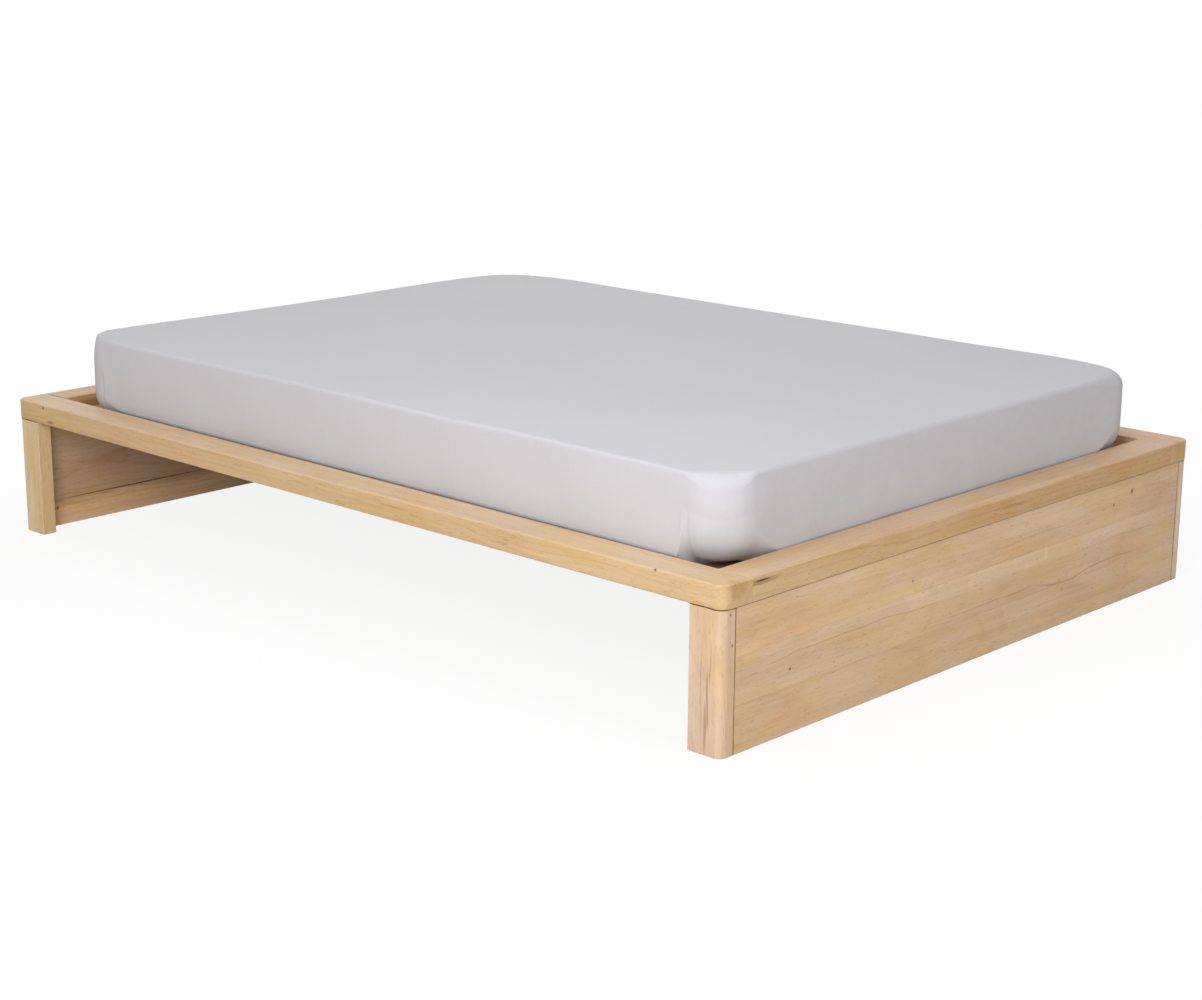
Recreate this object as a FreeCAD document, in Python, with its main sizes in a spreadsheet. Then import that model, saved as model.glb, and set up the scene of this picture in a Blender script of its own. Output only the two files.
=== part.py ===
import FreeCAD, Part
import os
import re
from math import cos, pi, radians, sin

import Sketcher

# A low double bed in solid beech. Two side rails lie flat on four round-cornered legs, two end
# rails are tenoned between them, and a solid panel closes each end between its legs. Ledgers
# under the rails carry the slats a slat's thickness above the rails' undersides, so the mattress
# sits down inside the frame. A beam and a foot carry the slats in the middle.
#
# The origin is on the floor under the middle of the bed. X runs along the bed, Y across it and
# Z up. Lengths are in millimetres. "Inset" is a distance in from the outer face of the rails.

SIZES = {
    # the mattress that the bed is made for, and the room around it
    "mattress_length": 2000,
    "mattress_width": 1400,
    "well_clearance": 10,
    # the frame of rails
    "rail_width": 80,
    "rail_thickness": 45,
    "rail_corner": 25,
    "rail_round": 3.5,
    "rail_ease": 1.5,
    "joint_ease": 1,
    # legs and end panels
    "leg_height": 273,
    "leg_width": 77,
    "leg_depth": 35,
    "leg_corner": 17,
    "leg_ease": 2,
    "leg_setback": 3,
    "panel_thickness": 27,
    # tenons; a mortise is wider by the slack on each side and deeper by the end gap
    "slack": 0.1,
    "end_gap": 1,
    "rail_tenon_width": 50,
    "rail_tenon_thickness": 15,
    "rail_tenon_length": 30,
    "leg_tenon_width": 45,
    "leg_tenon_thickness": 12,
    "leg_tenon_length": 25,
    "tongue_thickness": 9,
    "tongue_length": 14,
    "tongue_stop": 30,
    "foot_tenon_width": 30,
    "foot_tenon_length": 25,
    # ledgers, beam, its rests and the centre foot
    "ledger_width": 60,
    "ledger_thickness": 20,
    "ledger_bearing": 30,
    "ledger_gap": 1,
    "beam_width": 60,
    "beam_height": 60,
    "beam_gap": 0.5,
    "block_depth": 30,
    "block_height": 60,
    "foot_width": 60,
    # slats
    "slat_count": 14,
    "slat_width": 90,
    "slat_thickness": 18,
    "slat_end_gap": 3,
    "slat_margin": 10,
    "slat_round": 3,
    # the mattress itself, a little under its nominal size, and the sheet round it
    "mattress_short": 30,
    "mattress_narrow": 15,
    "mattress_height": 180,
    "mattress_corner": 90,
    "mattress_top_round": 12,
    "mattress_tuck": 26,
    "mattress_pull": 4,
    "mattress_crown": 7,
    "crown_reach": 330,
    "mattress_end_gap": 3.2,
    "sheet_thickness": 1.5,
    "soft_clearance": 0.3,
    "sheet_return": 120,
    "sheet_gather": 10,
}

# Lengths that follow from the sizes, as formulas.
LENGTHS = {
    "well_length": "mattress_length + 2 * well_clearance",
    "well_width": "mattress_width + 2 * well_clearance",
    "outer_length": "well_length + 2 * rail_width",
    "outer_width": "well_width + 2 * rail_width",
    "panel_inset": "leg_setback + panel_thickness",
    "panel_length": "outer_width - 2 * leg_setback - 2 * leg_depth",
    "tongue_height": "leg_height - 2 * tongue_stop",
    "ledger_inset": "rail_width + ledger_bearing - ledger_width",
    "ledger_end": "rail_width + ledger_bearing",
    "ledger_base": "leg_height - ledger_thickness",
    "side_ledger_start": "panel_inset + ledger_gap",
    "side_ledger_length": "outer_length - 2 * side_ledger_start",
    "end_ledger_width": "ledger_end - panel_inset",
    "end_ledger_start": "ledger_end + ledger_gap",
    "end_ledger_length": "(outer_width - beam_width) / 2 - ledger_gap - end_ledger_start",
    "beam_start": "panel_inset + beam_gap",
    "beam_length": "outer_length - 2 * beam_start",
    "beam_base": "leg_height - beam_height",
    "slat_length": "well_width - 2 * slat_end_gap",
    "slat_pitch": "(well_length - 2 * slat_margin - slat_width) / (slat_count - 1)",
    "slat_start": "rail_width + slat_margin",
}

doc = FreeCAD.newDocument("low_bed")
sheet = doc.addObject("Spreadsheet::Sheet", "Sizes")
for row, (alias, number) in enumerate(SIZES.items(), 1):
    sheet.set(f"A{row}", alias)
    sheet.set(f"B{row}", str(number))
    sheet.setAlias(f"B{row}", alias)
doc.recompute()

NEAR = 0.01
Z_AXIS = FreeCAD.Vector(0, 0, 1)
sub_parts = []


# ---------------------------------------------------------------- formulas


def bound(formula):
    """The formula with every length worked out to cells of the sheet."""

    def cell(word):
        name = word.group()
        return f"({bound(LENGTHS[name])})" if name in LENGTHS else f"Sizes.{name}"

    return re.sub(r"[a-z_]+", cell, str(formula))


def value(formula):
    """The formula's value, in millimetres."""
    return float(sheet.evalExpression(bound(formula)))


def from_left(inset):
    return f"{inset} - outer_length / 2"


def from_front(inset):
    return f"{inset} - outer_width / 2"


# ---------------------------------------------------------------- building a piece


def place(body, low, turned):
    """Puts the body's own origin at low, or turns it half round the bed's middle."""
    sign = "-" if turned else ""
    if turned:
        body.Placement = FreeCAD.Placement(FreeCAD.Vector(), FreeCAD.Rotation(Z_AXIS, 180))
    body.setExpression("Placement.Base.x", bound(f"{sign}({low[0]})"))
    body.setExpression("Placement.Base.y", bound(f"{sign}({low[1]})"))
    body.setExpression("Placement.Base.z", bound(low[2]))


def new_sketch(body, purpose, role, offset="0"):
    """A sketch on one of the body's own planes, moved along the plane's normal by offset."""
    plane = next(feature for feature in body.Origin.OriginFeatures if feature.Role == role)
    sketch = body.newObject("Sketcher::SketchObject", f"{body.Label}_{purpose}")
    sketch.AttachmentSupport = [(plane, "")]
    sketch.MapMode = "FlatFace"
    sketch.setExpression("AttachmentOffset.Base.z", bound(offset))
    return sketch


def measure(sketch, kind, corner, formula, name):
    """A dimension from the sketch's origin to a corner, bound to its formula."""
    sketch.addConstraint(Sketcher.Constraint(kind, -1, 1, corner, 1, value(formula)))
    sketch.renameConstraint(sketch.ConstraintCount - 1, name)
    sketch.setExpression(f"Constraints.{name}", bound(formula))


def draw_rectangle(sketch, low, high):
    """A rectangle between two opposite corners; a coordinate of 0 lies on the sketch's axis."""
    corners = [low, (high[0], low[1]), high, (low[0], high[1])]
    here = [FreeCAD.Vector(value(u), value(v), 0) for u, v in corners]
    for index, point in enumerate(here):
        sketch.addGeometry(Part.LineSegment(point, here[(index + 1) % 4]))
    for index, (u, v) in enumerate(corners):
        sketch.addConstraint(Sketcher.Constraint("Coincident", index, 2, (index + 1) % 4, 1))
        if u == "0":
            sketch.addConstraint(Sketcher.Constraint("PointOnObject", index, 1, -2))
        else:
            measure(sketch, "DistanceX", index, u, f"across_{index}")
        if v == "0":
            sketch.addConstraint(Sketcher.Constraint("PointOnObject", index, 1, -1))
        else:
            measure(sketch, "DistanceY", index, v, f"along_{index}")


def board(name, low, extent, turned=False):
    """A board sawn to extent, with its lowest corner at low."""
    body = doc.addObject("PartDesign::Body", name)
    body.Label = name
    place(body, low, turned)
    sub_parts.append(body)
    length, width, height = extent
    outline = new_sketch(body, "outline", "XY_Plane")
    draw_rectangle(outline, ("0", "0"), (length, width))
    grown = body.newObject("PartDesign::Pad", f"{name}_board")
    grown.Profile = outline
    grown.setExpression("Length", bound(height))
    doc.recompute()
    return body


def soften(body, edges, size, kind="Fillet"):
    """Rounds, or chamfers, the edges of the body that the test picks."""
    base = body.Tip
    picked = [f"Edge{i}" for i, edge in enumerate(base.Shape.Edges, 1) if edges(edge.BoundBox)]
    if not picked:
        raise ValueError(f"{body.Label} has no edge to soften")
    feature = body.newObject(f"PartDesign::{kind}", f"{body.Label}_{kind.lower()}")
    feature.Base = (base, picked)
    feature.setExpression("Radius" if kind == "Fillet" else "Size", bound(size))
    doc.recompute()
    if feature.Shape.isNull() or "Invalid" in feature.State:
        raise RuntimeError(f"{feature.Label} failed on {picked}")


def at(number, *formulas):
    """Whether the number is the value of one of the formulas."""
    return any(abs(number - value(formula)) < NEAR for formula in formulas)


def level(box, height):
    """Whether an edge lies flat at a height."""
    return at(box.ZMin, height) and at(box.ZMax, height)


def upright(box, x, y):
    """Whether an edge stands upright at x, y."""
    return box.XLength < NEAR and box.YLength < NEAR and at(box.XMin, x) and at(box.YMin, y)


# The plane of each side that is worked, the sign of an offset along its normal, and whether
# outward is against the normal. A tenon grows outward and a mortise sinks the other way.
SIDES = {
    "bottom": ("XY_Plane", "", True),
    "top": ("XY_Plane", "", False),
    "front": ("XZ_Plane", "-", False),
    "rear": ("XZ_Plane", "-", True),
}


def work(body, kind, purpose, side, low, high, depth, away):
    """A rectangular tenon on, or mortise in, the side that stands away from the body's origin."""
    role, sign, against = SIDES[side]
    sketch = new_sketch(body, purpose, role, f"{sign}({away})")
    draw_rectangle(sketch, low, high)
    before = body.Tip.Shape.Volume
    feature = body.newObject(f"PartDesign::{kind}", f"{sketch.Name}_{kind.lower()}")
    feature.Profile = sketch
    feature.Reversed = against
    feature.setExpression("Length", bound(depth))
    doc.recompute()
    expected = value(f"(({high[0]}) - ({low[0]})) * (({high[1]}) - ({low[1]})) * ({depth})")
    if abs(abs(body.Tip.Shape.Volume - before) - expected) > 1e-3 * expected:
        raise ValueError(f"the {purpose} of {body.Label} is cut short")


def tenon(body, purpose, side, low, high, length, away="0"):
    work(body, "Pad", purpose, side, low, high, length, away)


def mortise(body, purpose, side, low, high, length, away="0"):
    """The socket for a tenon of the same corners and length, with its slack and end gap."""
    low = [f"{corner} - slack" for corner in low]
    high = [f"{corner} + slack" for corner in high]
    work(body, "Pocket", purpose, side, low, high, f"{length} + end_gap", away)


def centred(middle, width):
    """The two edges of a width about its middle."""
    return f"{middle} - {width} / 2", f"{middle} + {width} / 2"


# ---------------------------------------------------------------- the frame of rails


def side_rail(name, turned):
    """A full-length rail whose two outer corners are round in plan."""
    low = (from_left("0"), from_front("0"), "leg_height")
    body = board(name, low, ("outer_length", "rail_width", "rail_thickness"), turned)
    outer_corner = lambda box: upright(box, "0", "0") or upright(box, "outer_length", "0")
    soften(body, outer_corner, "rail_corner")
    outside = lambda box: not at(box.YMin, "rail_width")
    soften(body, lambda box: level(box, "rail_thickness") and outside(box), "rail_round")
    soften(body, lambda box: level(box, "0") and outside(box), "rail_ease", "Chamfer")
    inside = lambda box: at(box.YMin, "rail_width") and box.XLength > value("well_length")
    soften(body, lambda box: level(box, "rail_thickness") and inside(box), "joint_ease", "Chamfer")
    low_z, high_z = centred("rail_thickness / 2", "rail_tenon_thickness")
    for end, middle in (("left", "rail_width / 2"), ("right", "outer_length - rail_width / 2")):
        low_x, high_x = centred(middle, "rail_tenon_width")
        low, high = (low_x, low_z), (high_x, high_z)
        mortise(body, f"{end}_end_mortise", "rear", low, high, "rail_tenon_length", "rail_width")
    seat = "leg_setback + leg_width / 2"
    low_y, high_y = centred("leg_setback + leg_depth / 2", "leg_tenon_thickness")
    for end, middle in (("left", seat), ("right", f"outer_length - ({seat})")):
        low_x, high_x = centred(middle, "leg_tenon_width")
        low, high = (low_x, low_y), (high_x, high_y)
        mortise(body, f"{end}_leg_mortise", "bottom", low, high, "leg_tenon_length")


def end_rail(name, turned):
    """A shorter rail tenoned between the side rails; its outer round carries on theirs."""
    low = (from_left("0"), from_front("rail_width"), "leg_height")
    body = board(name, low, ("rail_width", "well_width", "rail_thickness"), turned)
    outer = lambda box: box.XMax < NEAR
    soften(body, lambda box: level(box, "rail_thickness") and outer(box), "rail_round")
    soften(body, lambda box: level(box, "0") and outer(box), "rail_ease", "Chamfer")
    top = lambda box: level(box, "rail_thickness")
    ends = lambda box: top(box) and box.YLength < NEAR and at(box.YMin, "0", "well_width")
    inner = lambda box: top(box) and at(box.XMin, "rail_width")
    soften(body, lambda box: ends(box) or inner(box), "joint_ease", "Chamfer")
    low_x, high_x = centred("rail_width / 2", "rail_tenon_width")
    low_z, high_z = centred("rail_thickness / 2", "rail_tenon_thickness")
    low, high = (low_x, low_z), (high_x, high_z)
    tenon(body, "front_tenon", "front", low, high, "rail_tenon_length")
    tenon(body, "rear_tenon", "rear", low, high, "rail_tenon_length", "well_width")


# ---------------------------------------------------------------- legs and end panels


def leg(name, hand, turned):
    """A leg under a side rail's end, round at the bed's outer corner.

    hand is left or right: the end of the front rail that the leg is made for.
    """
    reach = "leg_setback" if hand == "left" else "outer_length - leg_setback - leg_width"
    low = (from_left(reach), from_front("leg_setback"), "0")
    body = board(name, low, ("leg_width", "leg_depth", "leg_height"), turned)
    outside, inside = ("0", "leg_width") if hand == "left" else ("leg_width", "0")
    soften(body, lambda box: upright(box, outside, "0"), "leg_corner")
    inner_arrises = lambda box: upright(box, inside, "0") or upright(box, inside, "leg_depth")
    soften(body, inner_arrises, "leg_ease")
    soften(body, lambda box: level(box, "0") or level(box, "leg_height"), "joint_ease", "Chamfer")
    joint = lambda box: at(box.XMin, outside) and at(box.YMax, "leg_depth") and box.XLength < NEAR
    soften(body, lambda box: joint(box) and box.ZLength > value("leg_width"), "joint_ease", "Chamfer")
    low_x, high_x = centred("leg_width / 2", "leg_tenon_width")
    low_y, high_y = centred("leg_depth / 2", "leg_tenon_thickness")
    tenon(body, "rail_tenon", "top", (low_x, low_y), (high_x, high_y), "leg_tenon_length", "leg_height")
    panel = "panel_thickness / 2" if hand == "left" else "leg_width - panel_thickness / 2"
    low_x, high_x = centred(panel, "tongue_thickness")
    low, high = (low_x, "tongue_stop"), (high_x, "tongue_stop + tongue_height")
    mortise(body, "panel_groove", "rear", low, high, "tongue_length", "leg_depth")


def end_panel(name, turned):
    """A solid panel tongued between two legs, flush with their outer faces, down to the floor."""
    low = (from_left("leg_setback"), from_front("leg_setback + leg_depth"), "0")
    body = board(name, low, ("panel_thickness", "panel_length", "leg_height"), turned)
    joint = lambda box: upright(box, "0", "0") or upright(box, "0", "panel_length")
    outer_foot = lambda box: level(box, "0") and box.XMax < NEAR
    soften(body, lambda box: joint(box) or outer_foot(box), "joint_ease", "Chamfer")
    low_x, high_x = centred("panel_thickness / 2", "tongue_thickness")
    low, high = (low_x, "tongue_stop"), (high_x, "tongue_stop + tongue_height")
    tenon(body, "front_tongue", "front", low, high, "tongue_length")
    tenon(body, "rear_tongue", "rear", low, high, "tongue_length", "panel_length")


# ---------------------------------------------------------------- what carries the slats


def side_ledger(name, turned):
    """A strip under a side rail that reaches inward to carry the slats' ends."""
    low = (from_left("side_ledger_start"), from_front("ledger_inset"), "ledger_base")
    board(name, low, ("side_ledger_length", "ledger_width", "ledger_thickness"), turned)


def end_ledger(name, front, turned):
    """Half of the strip under an end rail, from a side ledger to the beam."""
    start = "end_ledger_start" if front else "outer_width - end_ledger_start - end_ledger_length"
    low = (from_left("panel_inset"), from_front(start), "ledger_base")
    board(name, low, ("end_ledger_width", "end_ledger_length", "ledger_thickness"), turned)


def centre_beam(name):
    """The beam along the bed's middle, under the slats, with its ends under the end rails."""
    low = (from_left("beam_start"), "-beam_width / 2", "beam_base")
    body = board(name, low, ("beam_length", "beam_width", "beam_height"))
    long_foot = lambda box: level(box, "0") and box.YLength < NEAR
    soften(body, long_foot, "leg_ease")
    low_x, high_x = centred("beam_length / 2", "foot_tenon_width")
    low_y, high_y = centred("beam_width / 2", "foot_tenon_width")
    mortise(body, "foot_mortise", "bottom", (low_x, low_y), (high_x, high_y), "foot_tenon_length")


def beam_block(name, turned):
    """A block on an end panel, on which the end of the beam rests."""
    low = (from_left("panel_inset"), "-beam_width / 2", "beam_base - block_height")
    body = board(name, low, ("block_depth", "beam_width", "block_height"), turned)
    low_arris = lambda box: level(box, "0") and at(box.XMin, "block_depth")
    soften(body, low_arris, "leg_ease", "Chamfer")


def centre_foot(name):
    """The square foot under the middle of the beam, tenoned into it."""
    low = ("-foot_width / 2", "-foot_width / 2", "0")
    body = board(name, low, ("foot_width", "foot_width", "beam_base"))
    soften(body, lambda box: at(box.ZMin, "0") and at(box.ZMax, "beam_base"), "leg_ease")
    soften(body, lambda box: level(box, "0"), "joint_ease", "Chamfer")
    edges = centred("foot_width / 2", "foot_tenon_width")
    low, high = (edges[0], edges[0]), (edges[1], edges[1])
    tenon(body, "beam_tenon", "top", low, high, "foot_tenon_length", "beam_base")


def slat(name, number):
    """A slat across the bed, on both side ledgers, round along its two upper arrises."""
    start = f"slat_start + {number} * slat_pitch"
    low = (from_left(start), from_front("rail_width + slat_end_gap"), "leg_height")
    body = board(name, low, ("slat_width", "slat_length", "slat_thickness"))
    upper = lambda box: level(box, "slat_thickness") and box.XLength < NEAR
    soften(body, upper, "slat_round")


# ---------------------------------------------------------------- mattress and fitted sheet


def plan_outline(centre_x, length, width, radius, pull, height):
    """A mattress's outline at one height: round corners, and sides drawn in between them."""
    half_x, half_y = length / 2, width / 2
    slack = radius * (1 - cos(pi / 4))
    quarter = [
        ((half_x, radius - half_y), (half_x - pull, 0), (half_x, half_y - radius)),
        ((half_x, half_y - radius), (half_x - slack, half_y - slack), (half_x - radius, half_y)),
        ((half_x - radius, half_y), (0, half_y - pull), (radius - half_x, half_y)),
        ((radius - half_x, half_y), (slack - half_x, half_y - slack), (-half_x, half_y - radius)),
    ]
    arcs = []
    for turn in (1, -1):
        for points in quarter:
            ends = [FreeCAD.Vector(centre_x + turn * x, turn * y, height) for x, y in points]
            arcs.append(Part.Arc(*ends).toShape())
    return Part.Wire(arcs)


def mattress_middle():
    """The mattress lies against the right-hand end of its well, but for a finger's gap."""
    reach = "well_length / 2 - mattress_end_gap - sheet_thickness - soft_clearance"
    return value(f"{reach} - (mattress_length - mattress_short) / 2")


def crowned_form(grown):
    """The mattress's solid, grown on every side by a distance.

    Its bottom edge is tucked in, its sides are drawn in between the corners and again at
    mid-height, its upper edge is crisp, and its top rises to a crown.
    """
    length = value("mattress_length - mattress_short") + 2 * grown
    width = value("mattress_width - mattress_narrow") + 2 * grown
    floor = value("leg_height + slat_thickness + 2 * soft_clearance + sheet_thickness")
    base = floor - grown
    ridge = floor + value("mattress_height") + grown
    tuck, top_round = value("mattress_tuck"), value("mattress_top_round")
    pull, reach = value("mattress_pull"), value("crown_reach")
    levels = []
    for degrees in (0, 30, 60, 90):
        share = radians(degrees)
        levels.append((tuck * (1 - sin(share)), base + tuck * (1 - cos(share))))
    levels.append((pull / 2, (base + ridge) / 2))
    for degrees in (90, 60, 30, 0):
        share = radians(degrees)
        levels.append((top_round * (1 - sin(share)), ridge - top_round * (1 - cos(share))))
    for share in (1 / 3, 2 / 3, 1):
        inset = top_round + share * (reach - top_round)
        levels.append((inset, ridge + value("mattress_crown") * sin(share * pi / 2)))
    outlines = [
        plan_outline(
            mattress_middle(),
            length - 2 * inset,
            width - 2 * inset,
            value("mattress_corner"),
            pull,
            height,
        )
        for inset, height in levels
    ]
    return Part.makeLoft(outlines, True, True)


def soft_piece(name, shape):
    piece = doc.addObject("Part::Feature", name)
    piece.Label = name
    piece.Shape = shape
    sub_parts.append(piece)


def bedding():
    """The mattress, and the fitted sheet drawn over it and turned in underneath."""
    clearance = value("soft_clearance")
    soft_piece("mattress", crowned_form(0))
    skin = crowned_form(clearance + value("sheet_thickness")).cut(crowned_form(clearance))
    inset = value("sheet_return")
    opening = plan_outline(
        mattress_middle(),
        value("mattress_length - mattress_short") - 2 * inset,
        value("mattress_width - mattress_narrow") - 2 * inset,
        value("mattress_corner"),
        value("sheet_gather"),
        value("leg_height + slat_thickness"),
    )
    depth = value("2 * soft_clearance + sheet_thickness")
    through = Part.Face(opening).extrude(FreeCAD.Vector(0, 0, depth))
    soft_piece("fitted_sheet", skin.cut(through))


# ---------------------------------------------------------------- the bed

# The second of each pair is the first turned half round the bed's middle.
for name, turned in (("side_rail_front", False), ("side_rail_rear", True)):
    side_rail(name, turned)
for name, turned in (("end_rail_left", False), ("end_rail_right", True)):
    end_rail(name, turned)
for name, hand, turned in (
    ("leg_front_left", "left", False),
    ("leg_front_right", "right", False),
    ("leg_rear_right", "left", True),
    ("leg_rear_left", "right", True),
):
    leg(name, hand, turned)
for name, turned in (("end_panel_left", False), ("end_panel_right", True)):
    end_panel(name, turned)
for name, turned in (("side_ledger_front", False), ("side_ledger_rear", True)):
    side_ledger(name, turned)
for name, front, turned in (
    ("end_ledger_left_front", True, False),
    ("end_ledger_left_rear", False, False),
    ("end_ledger_right_rear", True, True),
    ("end_ledger_right_front", False, True),
):
    end_ledger(name, front, turned)
centre_beam("centre_beam")
for name, turned in (("beam_block_left", False), ("beam_block_right", True)):
    beam_block(name, turned)
centre_foot("centre_foot")
for number in range(int(value("slat_count"))):
    slat(f"slat_{number + 1:02d}", number)
bedding()
doc.recompute()

# ---------------------------------------------------------------- checks and files

for item in doc.Objects:
    if "Invalid" in item.State or "Error" in item.State:
        raise RuntimeError(f"{item.Label} failed: {item.State}")
for piece in sub_parts:
    if piece.Shape.isNull() or not piece.Shape.isValid() or not piece.Shape.Solids:
        raise RuntimeError(f"{piece.Label} has no valid solid")

os.makedirs("parts", exist_ok=True)
for piece in sub_parts:
    piece.Shape.exportStep(f"parts/{piece.Label}.step")
solids = sum(len(piece.Shape.Solids) for piece in sub_parts)
print(f"{len(sub_parts)} sub-parts, {solids} solids")
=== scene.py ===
# %% [markdown]
# # A low beech bed with a fitted sheet
#
# The frame of this bed comes from a CAD model, and it is loaded here as it is: rails, legs,
# panels, ledgers and slats stand in their real places, in metres, with the origin on the floor
# under the middle of the bed. X runs along the bed, Y across it and Z up. This lesson gives the
# wood its grain, makes the mattress and the sheet as real soft forms, adds the screws, and then
# lights and photographs the bed.

# %% Load the frame
from math import atan2, copysign, cos, exp, hypot, pi, radians, sin, sqrt

import bmesh
import bpy
from mathutils import Matrix, Vector, noise


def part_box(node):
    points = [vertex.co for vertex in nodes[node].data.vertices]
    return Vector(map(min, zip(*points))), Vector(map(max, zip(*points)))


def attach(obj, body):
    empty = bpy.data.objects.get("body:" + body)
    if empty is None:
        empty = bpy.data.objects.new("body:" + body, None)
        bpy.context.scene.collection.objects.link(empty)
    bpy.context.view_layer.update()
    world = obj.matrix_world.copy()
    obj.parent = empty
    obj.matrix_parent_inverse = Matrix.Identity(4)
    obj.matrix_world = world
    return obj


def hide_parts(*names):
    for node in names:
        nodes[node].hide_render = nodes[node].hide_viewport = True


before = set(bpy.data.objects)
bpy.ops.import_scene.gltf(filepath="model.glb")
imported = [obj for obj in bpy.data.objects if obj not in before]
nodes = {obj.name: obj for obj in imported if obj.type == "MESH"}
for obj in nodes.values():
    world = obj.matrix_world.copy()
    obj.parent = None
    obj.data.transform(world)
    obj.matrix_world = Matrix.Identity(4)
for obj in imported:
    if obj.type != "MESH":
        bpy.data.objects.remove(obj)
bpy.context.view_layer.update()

# %% [markdown]
# ## Camera
#
# The photograph was taken from beyond the near corner of the bed, a little above a standing
# child's height. The straight edges of rails and panels fix the camera: where parallel edges
# meet gives its direction and its focal length, and the known size of the bed gives its
# distance. A focal length in pixels becomes one in millimetres through the sensor's width.

# %% Camera
PHOTO_WIDTH = 1202
FOCUS_IN_PIXELS = 2269.5
SENSOR_WIDTH = 36.0
CAMERA_PLACE = Vector((3.488, -3.636, 1.442))
YAW, PITCH, ROLL = radians(43.360), radians(14.647), radians(0.34)


def camera_axes(yaw, pitch, roll):
    """The camera's right, up and backward directions."""
    ahead = Vector((-sin(yaw) * cos(pitch), cos(yaw) * cos(pitch), -sin(pitch)))
    level = Vector((cos(yaw), sin(yaw), 0))
    upright = level.cross(ahead)
    right = level * cos(roll) + upright * sin(roll)
    return right, right.cross(ahead), -ahead


camera = bpy.data.objects.new("camera", bpy.data.cameras.new("camera"))
bpy.context.collection.objects.link(camera)
camera.data.sensor_width = SENSOR_WIDTH
camera.data.lens = SENSOR_WIDTH * FOCUS_IN_PIXELS / PHOTO_WIDTH
turn = Matrix(camera_axes(YAW, PITCH, ROLL)).transposed().to_4x4()
camera.matrix_world = Matrix.Translation(CAMERA_PLACE) @ turn
bpy.context.scene.camera = camera
print("lens:", round(camera.data.lens, 2), "mm")

# %% [markdown]
# ## A small language for finishes
#
# A finish is a tree of shader nodes. Written node by node it is long and hard to read, so two
# small classes help. A `Wire` is one node's output and takes part in sums, which add Math
# nodes. A `Finish` is a material with one method for any other node: it takes the node's type,
# its settings and what goes into its sockets.

# %% Wires and finishes


class Wire:
    """An output of a shader node that can be used in sums."""

    def __init__(self, finish, socket):
        self.finish = finish
        self.socket = socket

    def sum(self, operation, *terms):
        return self.finish.node("Math", {"operation": operation}, dict(enumerate(terms)))

    def __add__(self, other):
        return self.sum("ADD", self, other)

    def __sub__(self, other):
        return self.sum("SUBTRACT", self, other)

    def __rsub__(self, other):
        return self.sum("SUBTRACT", other, self)

    def __mul__(self, other):
        return self.sum("MULTIPLY", self, other)

    def __truediv__(self, other):
        return self.sum("DIVIDE", self, other)

    def __pow__(self, other):
        return self.sum("POWER", self, other)

    __radd__ = __add__
    __rmul__ = __mul__


class Finish:
    """A material whose constant properties are set at once and whose nodes are added by name."""

    def __init__(self, name, **constants):
        self.material = bpy.data.materials.new(name)
        self.material.use_nodes = True
        self.tree = self.material.node_tree
        self.shader = self.tree.nodes["Principled BSDF"]
        for socket, number in constants.items():
            self.shader.inputs[socket.replace("_", " ")].default_value = number

    def node(self, kind, settings=None, sockets=None, output=0):
        made = self.tree.nodes.new(f"ShaderNode{kind}")
        for name, setting in (settings or {}).items():
            if name == "stops":
                self.set_stops(made.color_ramp, setting)
            else:
                setattr(made, name, setting)
        for key, given in (sockets or {}).items():
            if isinstance(given, Wire):
                self.tree.links.new(given.socket, made.inputs[key])
            else:
                made.inputs[key].default_value = given
        return Wire(self, made.outputs[output])

    @staticmethod
    def set_stops(ramp, stops):
        while len(ramp.elements) < len(stops):
            ramp.elements.new(1)
        for element, (place, colour) in zip(ramp.elements, stops):
            element.position = place
            element.color = (*colour, 1)

    def feed(self, **wires):
        for socket, wire in wires.items():
            self.tree.links.new(wire.socket, self.shader.inputs[socket.replace("_", " ")])

    def place(self):
        """The x, y and z of the shaded point, in metres."""
        spot = self.node("TexCoord", output="Object")
        return [self.node("SeparateXYZ", {}, {0: spot}, axis) for axis in range(3)]

    def point(self, x, y, z):
        return self.node("CombineXYZ", {}, {0: x, 1: y, 2: z})

    def cloud(self, point, scale=1, detail=2, roughness=0.5):
        """Soft noise about 0.5."""
        sockets = {"Vector": point, "Scale": scale, "Detail": detail, "Roughness": roughness}
        return self.node("TexNoise", {}, sockets)

    def rise(self, wire, start, end):
        """0 before start, 1 after end and a smooth climb between them."""
        sockets = {"Value": wire, "From Min": start, "From Max": end}
        return self.node("MapRange", {"interpolation_type": "SMOOTHSTEP"}, sockets)

    def tint(self, mask, colour, shade):
        """The colour multiplied by a shade where the mask is 1."""
        settings = {"data_type": "RGBA", "blend_type": "MULTIPLY"}
        return self.node("Mix", settings, {0: mask, 6: colour, 7: (*shade, 1)}, 2)

    def relief(self, height, depth):
        return self.node("Bump", {}, {"Strength": 1, "Distance": depth, "Height": height})


print("finish helpers ready")

# %% [markdown]
# ## Beech
#
# A board is cut from a trunk, so its figure is a slice through the trunk's rings: straight
# lines where the cut is far from the heart, arches where the heart dips under the face, and
# arcs on the end grain. The surest way to get all three is to compute the rings in space. The
# finish measures how far each point lies from the heart of its own trunk, lets the heart
# wander along the board, and reads the rings off that distance. Fibres, streaks, thin veins
# and the small dark flecks of beech are noise drawn out along the grain.

# %% A board's own directions
RING_WIDTH = 0.0075


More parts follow.
